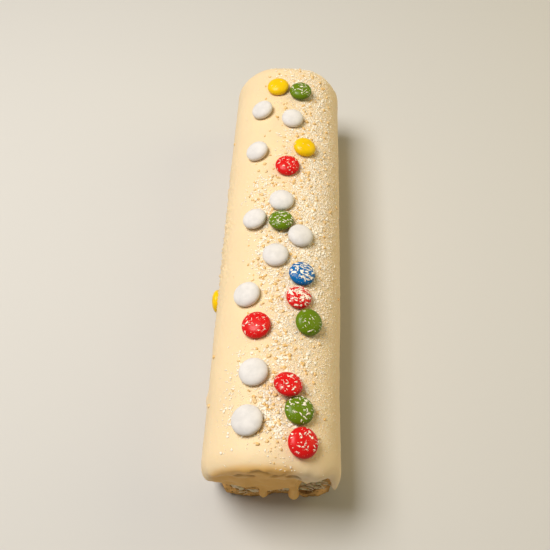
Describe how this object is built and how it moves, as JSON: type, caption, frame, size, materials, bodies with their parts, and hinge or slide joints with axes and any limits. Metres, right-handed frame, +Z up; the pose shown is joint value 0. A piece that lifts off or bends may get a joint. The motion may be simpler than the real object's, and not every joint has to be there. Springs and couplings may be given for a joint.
{
  "type": "swiss roll",
  "caption": "Whole swiss roll in pale icing, topped with lens-shaped sweets and crumbs, with its rolled sponge and cream showing under the drips at both ends.",
  "frame": {"origin": "middle of the flat underside of the sponge, on the surface that the roll rests on", "axes": "+Z up, Y along the roll with the front end at -Y, +X to the right of someone who looks at the front end"},
  "size_m": [0.0753, 0.2794, 0.0732],
  "materials": {
    "sponge": "golden brown, open crumb",
    "cream": "soft, matt",
    "icing": "set pale icing, soft sheen",
    "sweet_white": "sugar shell, soft gloss",
    "sweet_red": "sugar shell, soft gloss",
    "sweet_green": "sugar shell, soft gloss",
    "sweet_yellow": "sugar shell, soft gloss",
    "sweet_blue": "sugar shell, soft gloss"
  },
  "bodies": {
    "root": {"sponge": "sponge", "cream": "cream", "icing": "icing", "sweet_01_yellow": "sweet_yellow", "sweet_02_green": "sweet_green", "sweet_03_white": "sweet_white", "sweet_04_white": "sweet_white", "sweet_05_white": "sweet_white", "sweet_06_yellow": "sweet_yellow", "sweet_07_red": "sweet_red", "sweet_08_white": "sweet_white", "sweet_09_white": "sweet_white", "sweet_10_green": "sweet_green", "sweet_11_white": "sweet_white", "sweet_12_white": "sweet_white", "sweet_13_blue": "sweet_blue", "sweet_14_white": "sweet_white", "sweet_15_red": "sweet_red", "sweet_16_yellow": "sweet_yellow", "sweet_17_red": "sweet_red", "sweet_18_green": "sweet_green", "sweet_19_white": "sweet_white", "sweet_20_red": "sweet_red", "sweet_21_green": "sweet_green", "sweet_22_white": "sweet_white", "sweet_23_red": "sweet_red"}
  },
  "joints": []
}
